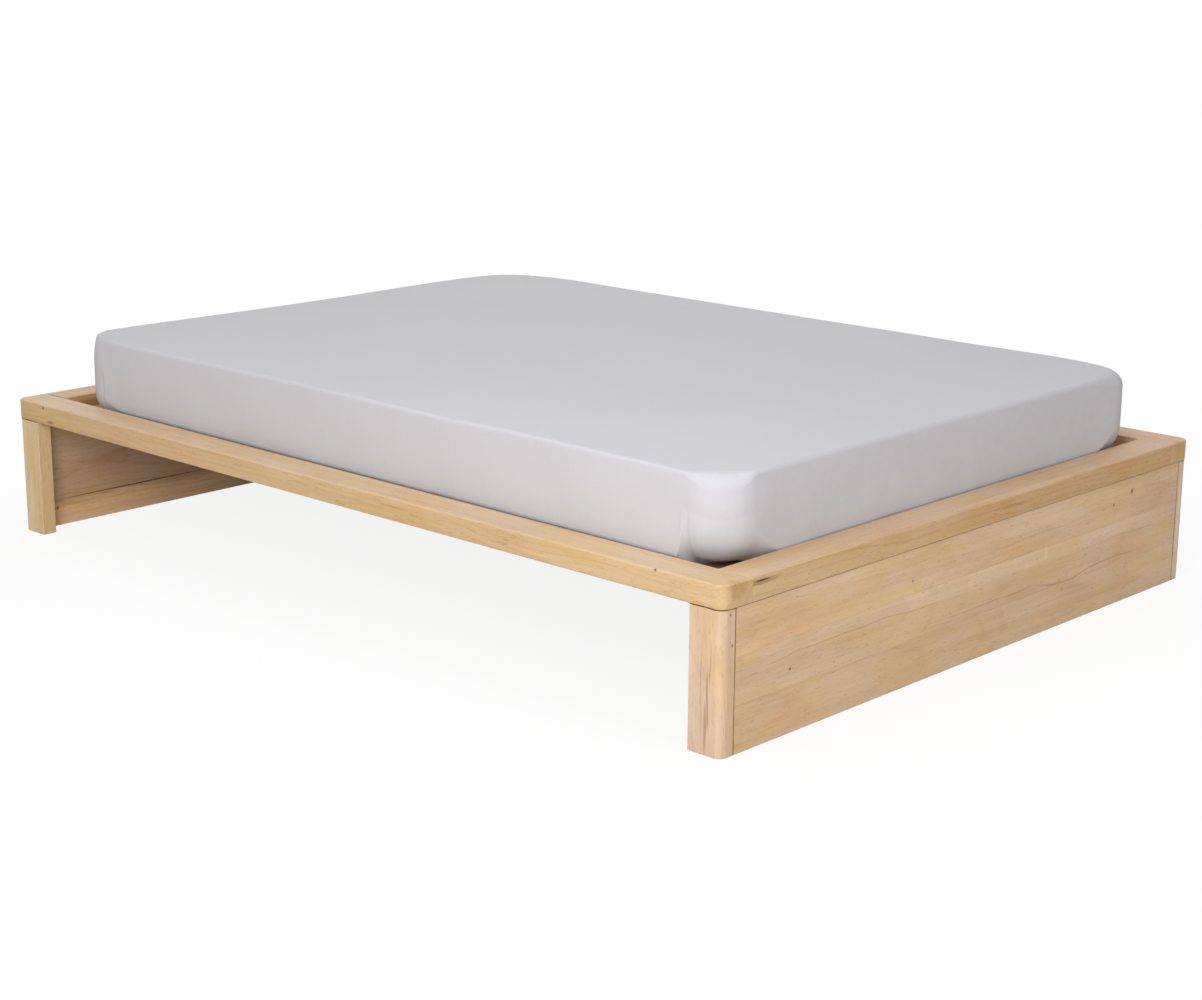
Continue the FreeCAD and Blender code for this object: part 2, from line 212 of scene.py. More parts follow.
class Board:
    """Places in a board: along the grain, across its wide face and into its depth."""

    def __init__(self, finish, grain, face_across, seed, staves=None):
        self.finish = finish
        self.place = finish.place()
        self.order = "XYZ".index(grain), "XYZ".index(face_across)
        self.along = self.place[self.order[0]]
        self.across = self.place[self.order[1]]
        self.deep = self.place[3 - sum(self.order)]
        self.shift = seed * 3.17
        self.staves = staves
        if staves:
            turns = self.across / staves
            self.strip = turns.sum("FLOOR", turns)
            self.in_strip = turns - self.strip
            settings = {"noise_dimensions": "1D"}
            self.chance = finish.node("TexWhiteNoise", settings, {"W": self.strip + seed})
            self.along = self.along + self.chance * 7.0

    def noise(self, along, across, detail=2, roughness=0.5):
        """Noise about 0, drawn out along the grain, by its waves per metre."""
        spread = self.across * across, self.deep * across
        point = self.finish.point(self.along * along + self.shift, *spread)
        return self.finish.cloud(point, 1, detail, roughness) - 0.5

    def rings(self, heart, wander, climb):
        """Late wood, dark and thin, where the board cuts the trunk's rings."""
        sideways = self.across - heart[0] + self.noise(0.9, 1.6) * wander
        if self.staves:
            sideways = (self.in_strip - self.chance) * self.staves + self.noise(0.9, 1.6) * wander
        inward = self.deep - heart[1] + self.along * climb + self.noise(1.5, 1.1, 1) * wander
        radius = (sideways * sideways + inward * inward) ** 0.5 + self.noise(5, 26, 3) * 0.005
        turns = radius / RING_WIDTH
        ring = turns.sum("FLOOR", turns)
        part = turns - ring
        chance = self.finish.node("TexWhiteNoise", {"noise_dimensions": "1D"}, {"W": ring})
        late = self.finish.rise(part, 0.45, 0.93) * (1 - self.finish.rise(part, 0.93, 1.0))
        return late * (0.25 + chance * 0.75)

    def veins(self):
        """Thin broken lines that wander along the grain."""
        wave = self.noise(1.3, 22)
        line = 1 - self.finish.rise(wave.sum("ABSOLUTE", wave), 0.0, 0.016)
        return line * self.finish.rise(self.noise(4, 16), -0.02, 0.10)


print("rings every", RING_WIDTH * 1000, "mm")

# %% Beech
BEECH_TONES = [
    (0.12, (0.360, 0.205, 0.100)),
    (0.36, (0.540, 0.352, 0.205)),
    (0.56, (0.640, 0.450, 0.287)),
    (0.82, (0.740, 0.555, 0.385)),
]
YELLOW, PINK = (1.0, 0.975, 0.84), (1.0, 0.94, 0.97)
FLECK, END_GRAIN = (0.62, 0.50, 0.38), (0.92, 0.87, 0.80)
DARK, PALE_MARK_AND_HIGHLIGHT, SHADOW = (0.40, 0.27, 0.17), (1.24, 1.27, 1.34), (0.20, 0.12, 0.07)
INNER_SHADE, OILED, PALER_LOW = (0.60, 0.47, 0.33), (0.74, 0.64, 0.48), (1.45, 1.45, 1.45)
SLIT, CRACK = (0.14, 0.08, 0.04), (0.16, 0.09, 0.05)
WARM_SHADE, PAINTED_LIGHT = (0.90, 0.80, 0.70), (1.12, 1.13, 1.13)
KNOT_EDGE, KNOT_HEART = (0.55, 0.38, 0.24), (0.18, 0.10, 0.06)
MIDDLE_TONE = 0.56
BROAD_SHARE, BAND_SHARE, FIBRE_SHARE = 0.46, 0.42, 0.26


def beech(name, grain, face_across, heart, seed, tone=0.0, **traits):
    """The finish of one board.

    heart is where the trunk's middle lies, across and behind the face. The traits are wander
    and climb, how far the heart strays and how fast it leaves the face, figure, the rings'
    contrast, staves, the width of glued strips, sides, painted shade: the tints of the top and of
    the faces round it, knots, each a place and a radius, marks, each a place, its half sizes along
    and across the grain, its strength and its shade, and streaks, marks that bend with the grain.
    """
    f = Finish(name, Specular_IOR_Level=0.35)
    board = Board(f, grain, face_across, seed, traits.get("staves"))
    late = board.rings(heart, traits.get("wander", 0.09), traits.get("climb", 0.02))
    veins = board.veins()
    fibre = board.noise(14, 420, 3, 0.65)
    fleck = f.rise(board.noise(60, 640, 1), 0.145, 0.22)
    level = board.noise(0.9, 30, 3, 0.6) * BROAD_SHARE + board.noise(2.6, 9) * BAND_SHARE
    level = level + fibre * FIBRE_SHARE + MIDDLE_TONE + tone
    level = level - late * traits.get("figure", 0.10) - veins * 0.09
    if board.staves:
        level = level + (board.chance - 0.5) * 0.07
    colour = f.node("ValToRGB", {"stops": BEECH_TONES}, {0: level})
    colour = f.tint(f.rise(board.noise(4.5, 13), -0.03, 0.10), colour, YELLOW)
    colour = f.tint(f.rise(board.noise(3.2, 7, 3), 0.02, 0.14), colour, PINK)
    colour = f.tint(fleck * 0.6, colour, FLECK)
    facing = f.node("NewGeometry", output="Normal")
    turned = [f.node("SeparateXYZ", {}, {0: facing}, axis) for axis in (2, board.order[0])]
    # Painted shade: tops and upright faces get different tints, by which way they face.
    if "sides" in traits:
        upward = f.rise(turned[0], 0.3, 0.9)
        colour = f.tint(upward, f.tint(1 - upward, colour, traits["sides"][1]), traits["sides"][0])
    if board.staves:
        off = board.in_strip - 0.5
        glue = f.rise(off.sum("ABSOLUTE", off), 0.488, 0.499)
        colour = f.tint(glue * 0.13, colour, FLECK)
    endwise = f.rise(turned[1].sum("ABSOLUTE", turned[1]), 0.80, 0.95)
    colour = f.tint(endwise * 0.6, colour, END_GRAIN)
    for spot, radius in traits.get("knots", ()):
        reach = spread_from(board.place, spot, (radius,) * 3)
        colour = f.tint((1 - f.rise(reach, 0.5, 6.0)) * 0.5, colour, KNOT_EDGE)
        colour = f.tint(1 - f.rise(reach, 0.3, 1.2), colour, KNOT_HEART)
    bent = list(board.place)
    bent[board.order[1]] = bent[board.order[1]] + board.noise(3.5, 3) * 0.045
    ragged = board.noise(9, 60, 3) * 1.6
    for place, kind in ((board.place, "marks"), (bent, "streaks")):
        for spot, along, across, strength, shade in traits.get(kind, ()):
            halves = [along if axis == board.order[0] else across for axis in range(3)]
            reach = spread_from(place, spot, halves) + ragged
            colour = f.tint((1 - f.rise(reach, 0.2, 1.2)) * strength, colour, shade)
    f.feed(Base_Color=colour, Roughness=0.50 - fibre * 0.30 + endwise * 0.1)
    f.feed(Normal=f.relief(fibre * 0.8 - fleck * 0.5 - late * 0.25 - veins * 0.2, 0.00025))
    return f.material


def spread_from(place, spot, halves):
    """How far a point lies from a spot, squared, where 1 is the edge of an oval."""
    steps = [(axis - centre) / half for axis, centre, half in zip(place, spot, halves)]
    return sum(step * step for step in steps)


def wear(node, material):
    """Gives a CAD node its finish."""
    for slot in nodes[node].material_slots:
        slot.material = material


print("beech tones:", len(BEECH_TONES))

# %% [markdown]
# ## The boards of the frame
#
# Every board gets its own trunk, so that no grain runs on across a joint. The rails' grain
# runs along them, the legs' runs up them, and each end panel's runs along the panel. Tops and
# upright faces are tinted apart, the tops a little pinker and the fronts yellower, which is
# painted shade. Painted shadow darkens the joints, and knots, a slit and a few worn places are
# where the photograph has them. Pale bands on the near leg's corner and the far leg's end are
# painted highlights. The darker bands inside the far rails and the broad, weak marks on the
# right-hand end are shade that is painted and not lit.

# %% Places on the frame
RAIL_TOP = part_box("side_rail_front")[1][2]
RAIL_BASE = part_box("side_rail_front")[0][2]
FRONT_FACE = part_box("side_rail_front")[0][1]
END_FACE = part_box("end_rail_right")[1][0]
LEG_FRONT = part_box("leg_front_right")[0][1]
PANEL_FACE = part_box("end_panel_right")[1][0]
PANEL_END = -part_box("leg_front_right")[1][1]
PANEL_INNER = 1.060
SEAM_X, SEAM_Y = 1.050, 0.710
BAND_HEIGHT, BAND_HALF, BAND_STRENGTH = 0.279, 0.032, 0.8
# Painted shade: tints of the tops and of the upright faces.
RAIL_FACE_SHADES = [(1.0, 0.985, 0.99), (0.95, 0.925, 0.765)]
FRONT_FACE_SHADES = [(1.02, 1.06, 1.08), (0.95, 0.94, 0.765)]
PANEL_FACE_SHADES = [(1.0, 1.0, 1.0), (1.0, 0.99, 0.955)]
print("rail from", round(RAIL_BASE, 3), "to", round(RAIL_TOP, 3))

# %% Rails
knots = [((0.932, FRONT_FACE, 0.3165), 0.0022), ((-0.978, FRONT_FACE, 0.312), 0.0026)]
marks = [
    ((-0.950, FRONT_FACE, 0.282), 0.016, 0.005, 0.70, DARK),
    # Painted shadow lines along the seams on top and under the rail's ends.
    ((-SEAM_X, -SEAM_Y, RAIL_TOP), 0.045, 0.0026, 1.0, SHADOW),
    ((SEAM_X, -SEAM_Y, RAIL_TOP), 0.045, 0.0016, 0.5, SHADOW),
    ((1.022, FRONT_FACE, 0.2955), 0.032, 0.0016, 0.9, PALE_MARK_AND_HIGHLIGHT),
    ((1.045, FRONT_FACE, 0.2845), 0.026, 0.0013, 0.9, PALE_MARK_AND_HIGHLIGHT),
    ((1.048, FRONT_FACE, RAIL_BASE), 0.045, 0.0022, 0.9, SHADOW),
    ((-1.048, FRONT_FACE, RAIL_BASE), 0.045, 0.0022, 0.9, SHADOW),
    ((END_FACE, -0.750, 0.307), 0.026, 0.024, 0.55, OILED),
]
streaks = [
    ((-0.72, FRONT_FACE, 0.305), 0.030, 0.0022, 0.35, DARK),
    ((-0.28, FRONT_FACE, 0.300), 0.050, 0.0018, 0.30, DARK),
    ((0.24, FRONT_FACE, 0.302), 0.060, 0.0020, 0.30, DARK),
    ((0.55, FRONT_FACE, 0.290), 0.040, 0.0018, 0.30, DARK),
]
traits = {"sides": FRONT_FACE_SHADES, "knots": knots, "marks": marks, "streaks": streaks}
front_rail = beech("beech_front_rail", "X", "Y", (-0.62, 0.16), 1, 0.0, **traits)
wear("side_rail_front", front_rail)
# Painted shade: a darker band along the inside of the rear rail.
dim = [((0.0, SEAM_Y, BAND_HEIGHT), 0.99, BAND_HALF, BAND_STRENGTH, INNER_SHADE)]
rear_rail = beech("beech_rear_rail", "X", "Y", (0.93, 0.20), 2, -0.02, sides=RAIL_FACE_SHADES, marks=dim)
wear("side_rail_rear", rear_rail)

slit_and_shade = [
    ((END_FACE - 0.001, -0.684, 0.3088), 0.024, 0.0022, 1.0, SLIT),
    ((END_FACE - 0.001, -0.684, 0.3070), 0.060, 0.0060, 0.5, DARK),
    ((END_FACE, 0.10, 0.296), 0.050, 0.004, 0.3, DARK),
    # Painted shade: a broad, weak warm darkening along the right rail.
    ((END_FACE, 0.75, 0.292), 1.10, 0.028, 0.8, WARM_SHADE),
]
right_rail = beech(
    "beech_right_rail", "Y", "X", (1.20, 0.24), 3, -0.03, sides=RAIL_FACE_SHADES, marks=slit_and_shade
)
wear("end_rail_right", right_rail)
# Painted shade along the inside of the left rail and a painted shadow line at its seam.
dim = [
    ((-1.010, 0.0, BAND_HEIGHT), 4.0, BAND_HALF, BAND_STRENGTH, INNER_SHADE),
    ((-SEAM_X, -SEAM_Y, RAIL_TOP), 0.0026, 0.045, 1.0, SHADOW),
]
left_rail = beech("beech_left_rail", "Y", "X", (-1.22, 0.24), 4, -0.04, sides=RAIL_FACE_SHADES, marks=dim)
wear("end_rail_left", left_rail)
print("rails: 4")

# %% Legs
JOINT_LINE = 0.0019
LEG_MIDDLE = 0.13
LEG_HEART_SHARE, LEG_HEART_DEPTH = 0.3, 0.11
LEG_TONE, FRONT_LEFT_TONE = 0.05, 0.15
# Painted shade: tints of the legs' upright faces against their tops.
RIGHT_LEG_FACE_SHADES = [(1.0, 1.0, 1.0), (0.985, 0.985, 1.05)]
LEFT_LEG_FACE_SHADES = [(1.0, 1.0, 1.0), (1.04, 1.05, 0.90)]

leg_names = ("leg_front_right", "leg_front_left", "leg_rear_left", "leg_rear_right")
leg_knots = [((PANEL_FACE, -0.766, 0.262), 0.0016), ((PANEL_FACE, -0.760, 0.205), 0.0018)]
leg_streaks = [
    ((1.050, LEG_FRONT, 0.050), 0.060, 0.0040, 0.50, DARK),
    ((1.056, LEG_FRONT, 0.105), 0.060, 0.0030, 0.55, DARK),
    ((1.062, LEG_FRONT, 0.165), 0.050, 0.0022, 0.35, DARK),
    ((1.040, LEG_FRONT, 0.100), 0.130, 0.0022, 0.22, DARK),
]
# Painted highlights: a pale band on the near leg's rounded corner and on the far leg's end face.
leg_highlights = {
    "leg_front_right": [((1.076, LEG_FRONT + 0.003, 0.135), 0.170, 0.0065, 0.25, PALE_MARK_AND_HIGHLIGHT)],
    "leg_rear_right": [((PANEL_FACE, 0.764, LEG_MIDDLE), 0.16, 0.008, 0.7, PALE_MARK_AND_HIGHLIGHT)],
}
for seed, node in enumerate(leg_names, 5):
    low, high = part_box(node)
    heart = (low[0] + LEG_HEART_SHARE * (high[0] - low[0]), low[1] + LEG_HEART_DEPTH)
    middle = (low[0] + high[0]) / 2, (low[1] + high[1]) / 2
    panel_line = copysign(PANEL_FACE, middle[0]), copysign(PANEL_END, middle[1]), LEG_MIDDLE
    # Painted shadow lines under the rail and along the panel's edge.
    marks = [((*middle, RAIL_BASE), 0.0026, 0.5, 1.0, SHADOW)]
    marks += [(panel_line, 0.8, JOINT_LINE, 0.65, SHADOW)]
    marks += leg_highlights.get(node, [])
    traits = {"knots": leg_knots, "streaks": leg_streaks} if node == "leg_front_right" else {}
    traits["sides"] = RIGHT_LEG_FACE_SHADES if "right" in node else LEFT_LEG_FACE_SHADES
    tone = FRONT_LEFT_TONE if node == "leg_front_left" else LEG_TONE
    wear(node, beech(f"beech_{node}", "Z", "X", heart, seed, tone, marks=marks, **traits))
print("legs:", len(leg_names))

# %% End panels
PANEL_STAVE = 0.091


def panel_joints(face):
    """The painted shadow lines where a panel meets its legs and its rail."""
    ends = [((face, side * PANEL_END, 0.14), JOINT_LINE, 0.8, 0.7, SHADOW) for side in (-1, 1)]
    return ends + [((face, 0, RAIL_BASE), 4.0, JOINT_LINE, 0.9, SHADOW)]


knots = [
    ((PANEL_FACE, -0.598, 0.123), 0.0024),
    ((PANEL_FACE, 0.559, 0.241), 0.0034),
    ((PANEL_FACE, 0.488, 0.223), 0.0022),
    ((PANEL_FACE, -0.231, 0.209), 0.0018),
]
marks = panel_joints(PANEL_FACE) + [
    ((PANEL_FACE, 0.232, 0.168), 0.010, 0.016, 0.45, PALE_MARK_AND_HIGHLIGHT),
    # Painted light: a broad, weak lightening of the right panel.
    ((PANEL_FACE, -0.10, 0.230), 1.30, 0.085, 0.8, PAINTED_LIGHT),
]
streaks = [
    ((PANEL_FACE, -0.42, 0.149), 0.30, 0.0018, 0.30, DARK),
    ((PANEL_FACE, 0.08, 0.106), 0.20, 0.0016, 0.42, DARK),
    ((PANEL_FACE, 0.44, 0.104), 0.26, 0.0018, 0.42, DARK),
    ((PANEL_FACE, 0.58, 0.150), 0.10, 0.0014, 0.30, DARK),
    ((PANEL_FACE, 0.20, 0.215), 0.25, 0.0014, 0.22, DARK),
]
traits = {"sides": PANEL_FACE_SHADES, "knots": knots, "marks": marks, "streaks": streaks}
traits.update({"wander": 0.06, "climb": 0.05, "figure": 0.07, "staves": PANEL_STAVE})
right_panel = beech("beech_right_panel", "Y", "Z", (0.17, 0.99), 9, 0.0, **traits)
wear("end_panel_right", right_panel)
marks = panel_joints(-PANEL_FACE) + [
    # Lighter towards the bottom of the left panel's inner face.
    ((-PANEL_INNER, -0.45, 0.010), 0.80, 0.052, 1.0, PALER_LOW),
    ((-PANEL_INNER, -0.47, 0.063), 0.24, 0.0018, 1.0, CRACK),
]
traits = {"climb": 0.04, "knots": [((-PANEL_INNER, -0.714, 0.043), 0.0030)], "marks": marks}
left_panel = beech("beech_left_panel", "Y", "Z", (0.12, -1.20), 11, -0.10, **traits)
wear("end_panel_left", left_panel)
print("panel strips:", PANEL_STAVE * 1000, "mm wide")

# %% [markdown]
# ## Slats and what carries them
#
# These parts are hardly seen in use, so a maker takes plainer wood for them: browner boards
# from nearer the heart. They get the same beech, some tones darker. The three that meet below
# the near corner of the mattress carry painted shade there, where the gap beside it is dark.

# %% Hidden boards
HIDDEN_TONE, FIRST_SEED = -0.22, 20
HEART_DEPTH, HEART_SWING = 0.07, 0.05
DARK_ENDS = "slat_14", "side_ledger_front", "end_ledger_right_front"
# Painted shade at the near corner's end of three hidden boards.
corner_shade = [((0.95, -0.67, 0.285), 0.10, 0.08, 0.7, SHADOW)]
hidden = {"side_ledger": "X", "end_ledger": "Y", "centre_beam": "X", "beam_block": "Z"}
hidden.update({"centre_foot": "Z", "slat_": "Y"})
count = 0
for node in sorted(nodes):
    grain = next((axis for start, axis in hidden.items() if node.startswith(start)), None)
    if not grain:
        continue
    low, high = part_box(node)
    count += 1
    across = "X" if grain != "X" else "Y"
    middle = (low["XYZ".index(across)] + high["XYZ".index(across)]) / 2
    back = low[1] if grain == "Z" else low[2]
    behind = back - HEART_DEPTH - HEART_SWING * cos(count * 1.7)
    heart = middle + HEART_SWING * sin(count * 2.4), behind
    marks = corner_shade if node in DARK_ENDS else []
    seed = FIRST_SEED + count
    wear(node, beech(f"beech_{node}", grain, across, heart, seed, HIDDEN_TONE, marks=marks))
print("hidden boards:", count)

# %% [markdown]
# ## Screws
#
# Countersunk screws hold the ledgers up under the rails and the slats down on the ledgers. A
# screw driven home shows only its head: a shallow dome with a cross-shaped socket. One head is
# turned and cut once, and copies stand in one mesh per row of screws.

# %% Screw heads
HEAD_STEPS = 24
HEAD_RISE = 0.0004
DOME = [(1.0, -0.0002), (1.0, 0.4), (0.93, 0.8), (0.62, 1.0)]
ARM, NOTCH = 0.50, 0.16
SOCKET_TAPER, SOCKET_DEPTH = 0.8, 0.5


def head_loop(made, reaches, height):
    """Points round the head's middle, each at its own distance."""
    loop = []
    for step, reach in enumerate(reaches):
        angle = 2 * pi * step / HEAD_STEPS
        loop.append(made.verts.new((reach * cos(angle), reach * sin(angle), height)))
    return loop


def head_shape(radius):
    """One head in a mesh of its own, facing up, with its rim at z 0."""
    made = bmesh.new()
    loops = [
        head_loop(made, [radius * reach] * HEAD_STEPS, HEAD_RISE * rise) for reach, rise in DOME
    ]
    arms = [radius * (ARM if step % 6 in (0, 1, 5) else NOTCH) for step in range(HEAD_STEPS)]
    loops.append(head_loop(made, arms, HEAD_RISE))
    floor_places = [(v.co.x * SOCKET_TAPER, v.co.y * SOCKET_TAPER) for v in loops[-1]]
    loops.append([made.verts.new((*place, -SOCKET_DEPTH * radius)) for place in floor_places])
    for lower, upper in zip(loops, loops[1:]):
        for step in range(HEAD_STEPS):
            after = (step + 1) % HEAD_STEPS
            made.faces.new((lower[step], lower[after], upper[after], upper[step]))
    made.faces.new(loops[-1])
    made.faces.new(list(reversed(loops[0])))
    return made


def mesh_object(name, mesh, body, material):
    """A new piece of the bed, with its finish, riding on a body."""
    piece = bpy.data.objects.new(name, mesh)
    bpy.context.collection.objects.link(piece)
    mesh.materials.append(material)
    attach(piece, body)
    return piece


def screw_row(name, spots, radius, facing):
    """Heads at the spots, all facing one way, turned at different angles."""
    template = head_shape(radius)
    joined = bmesh.new()
    aim = Vector((0, 0, 1)).rotation_difference(Vector(facing)).to_matrix().to_4x4()
    for index, spot in enumerate(spots):
        spin = Matrix.Rotation(index * 0.7, 4, "Z")
        copy = template.copy()
        copy.transform(Matrix.Translation(spot) @ aim @ spin)
        part = bpy.data.meshes.new("part")
        copy.to_mesh(part)
        joined.from_mesh(part)
        bpy.data.meshes.remove(part)
        copy.free()
    mesh = bpy.data.meshes.new(name)
    joined.to_mesh(mesh)
    joined.free()
    template.free()
    mesh_object(name, mesh, "bed_frame", zinc)


plating = Finish("zinc", Metallic=1.0)
shine = plating.cloud(plating.node("TexCoord", output="Object"), 900, 3)
tones = {"stops": [(0.3, (0.50, 0.49, 0.46)), (0.7, (0.70, 0.68, 0.62))]}
plating.feed(Base_Color=plating.node("ValToRGB", tones, {0: shine}))
plating.feed(Roughness=0.28 + shine * 0.2)
zinc = plating.material
print("head steps:", HEAD_STEPS)

# %% Rows of screws
SLAT_HEAD, LEDGER_HEAD, BLOCK_HEAD = 0.004, 0.0045, 0.005
SLAT_SCREW_EDGE, BLOCK_SCREW_EDGE = 0.013, 0.015
SIDE_SCREW_LINE, END_SCREW_LINE = 0.725, 1.035
SIDE_SCREWS, SIDE_SCREW_START = 8, 0.10
END_SCREW_SHARES = 0.1, 0.37, 0.63, 0.9

slat_names = sorted(name for name in nodes if name.startswith("slat_"))
spots = []
for name in slat_names:
    low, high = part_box(name)
    for across in (low[1] + SLAT_SCREW_EDGE, high[1] - SLAT_SCREW_EDGE):
        spots.append(((low[0] + high[0]) / 2, across, high[2]))
screw_row("slat_screws", spots, SLAT_HEAD, (0, 0, 1))
print("slat screws:", len(spots))

spots = []
for name in ("side_ledger_front", "side_ledger_rear"):
    low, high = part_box(name)
    across = -SIDE_SCREW_LINE if "front" in name else SIDE_SCREW_LINE
    for step in range(SIDE_SCREWS):
        share = step / (SIDE_SCREWS - 1)
        start, end = low[0] + SIDE_SCREW_START, high[0] - SIDE_SCREW_START
        spots.append((start + share * (end - start), across, low[2]))
for end, middle in (("left", -END_SCREW_LINE), ("right", END_SCREW_LINE)):
    for name in (f"end_ledger_{end}_front", f"end_ledger_{end}_rear"):
        low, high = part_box(name)
        for share in END_SCREW_SHARES:
            spots.append((middle, low[1] + share * (high[1] - low[1]), low[2]))
screw_row("ledger_screws", spots, LEDGER_HEAD, (0, 0, -1))
print("ledger screws:", len(spots))

for name, facing in (("beam_block_left", (1, 0, 0)), ("beam_block_right", (-1, 0, 0))):
    low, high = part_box(name)
    face = high[0] if facing[0] > 0 else low[0]
    spots = [(face, 0, low[2] + BLOCK_SCREW_EDGE), (face, 0, high[2] - BLOCK_SCREW_EDGE)]
    screw_row(f"{name}_screws", spots, BLOCK_HEAD, facing)
    print(name, "screws:", len(spots))

# %% [markdown]
# ## The sheet's form
#
# A fitted sheet is one cloth: flat on top, turned sharply over the mattress's upper edge, down
# the sides, round under the lower edge and in again to an elastic hem. A grid serves it best.
# The grid covers the top, with its lines closer together near the edges, its corners are bent
# to quarter circles, and its rim is carried on down the sides as rings. Every point then has
# plain numbers, its way round the bed and its way down, and folds are written with them.

# %% Grid over the top
FINE_STEP, COARSE_STEP, STEP_GROWTH = 0.0025, 0.014, 1.035


def grid_lines(half):
    """Places from -half to half, closer together near both ends."""
    inward, step = [0.0], FINE_STEP
    while inward[-1] + step < half - COARSE_STEP / 2:
        inward.append(inward[-1] + step)
        step = min(COARSE_STEP, step * STEP_GROWTH)
    near = [half - place for place in inward]
    return [-place for place in near] + [0.0] + near[::-1]


class RimPoint:
    """A point of the top's grid: its place, its depth inside the rim and the way out.

    For a point of the rim, way is its distance round the bed and past its distance from the
    middle of its corner, below 0 on a long side.
    """

    def __init__(self, x, y, half, radius):
        straight = half[0] - radius, half[1] - radius
        sides = copysign(1, x), copysign(1, y)
        over = [max(0.0, abs(v) - s) / radius for v, s in zip((x, y), straight)]
        self.centre = [side * min(abs(v), s) for side, v, s in zip(sides, (x, y), straight)]
        self.out = (sides[0], 0.0) if half[0] - abs(x) < half[1] - abs(y) else (0.0, sides[1])
        self.depth = min(half[0] - abs(x), half[1] - abs(y))
        self.x, self.y = x, y
        if over[0] > 0 and over[1] > 0:
            bent = over[0] * sqrt(1 - over[1] ** 2 / 2), over[1] * sqrt(1 - over[0] ** 2 / 2)
            reach = hypot(*bent)
            self.out = sides[0] * bent[0] / reach, sides[1] * bent[1] / reach
            self.depth = radius * (1 - reach)
            self.x = self.centre[0] + sides[0] * radius * bent[0]
            self.y = self.centre[1] + sides[1] * radius * bent[1]
        self.way = self.way_round(straight, radius)
        gaps = [s - abs(c) for s, c in zip(straight, self.centre)]
        angle = atan2(abs(self.out[1]), abs(self.out[0]))
        self.past = radius * (pi / 4 - angle) - gaps[0] + gaps[1]

    def way_round(self, straight, radius):
        """The distance round the rim, from the middle of the rear side, anticlockwise."""
        a, b = straight
        angle = atan2(self.out[0], -self.out[1]) % (2 * pi)
        quarter = int(angle / (pi / 2) + 1e-6) % 4
        x, y = self.centre
        runs = (x + a, 2 * a + y + b, 2 * a + 2 * b + a - x, 4 * a + 2 * b + b - y)
        start = 3 * a + 2 * b + pi * radius
        return (runs[quarter] + radius * angle - start) % (4 * a + 4 * b + 2 * pi * radius)


print("grid lines along one metre:", len(grid_lines(0.5)))

# %% [markdown]
# ## Folds
#
# A stretched sheet is nearly smooth, so its few irregularities have to be right. The upper edge
# runs in shallow waves, with a pucker every hand's breadth along the front. The top sinks
# towards the far left corner. Each side is drawn in between the corners, and the spare cloth of
# each corner is laid in one upright pleat with small puckers at its foot. Underneath, each
# corner's elastic draws the cloth further in. Each is a short formula of the place, the way
# round and the way down.

# %% Fold formulas
PUCKER_SPACING, PUCKER_DEPTH = 0.104, 0.0018
PLEAT_FALL, PLEAT_WIDTH, PLEAT_LIP = 0.0050, 0.020, 0.0008
PLEAT_SHIFT, PLEAT_START, PLEAT_END = 0.008, -0.04, 0.075
GATHER_SPACING, GATHER_HEIGHT = 0.058, 0.0010
SAG_DEPTH, SAG_LENGTH = 0.005, 0.16
LEAN_MOST, SIDE_DRAW = 0.009, 0.0022
CORNER_INSET, CORNER_SPREAD = 0.04, 0.085


def climb(number, start, end):
    """A smooth climb from 0 at start to 1 at end."""
    share = min(1.0, max(0.0, (number - start) / (end - start)))
    return share * share * (3 - 2 * share)


def drift(*place):
    """Smooth noise between -1 and 1."""
    return noise.noise(Vector((*place, 0.0, 0.0)[:3]))


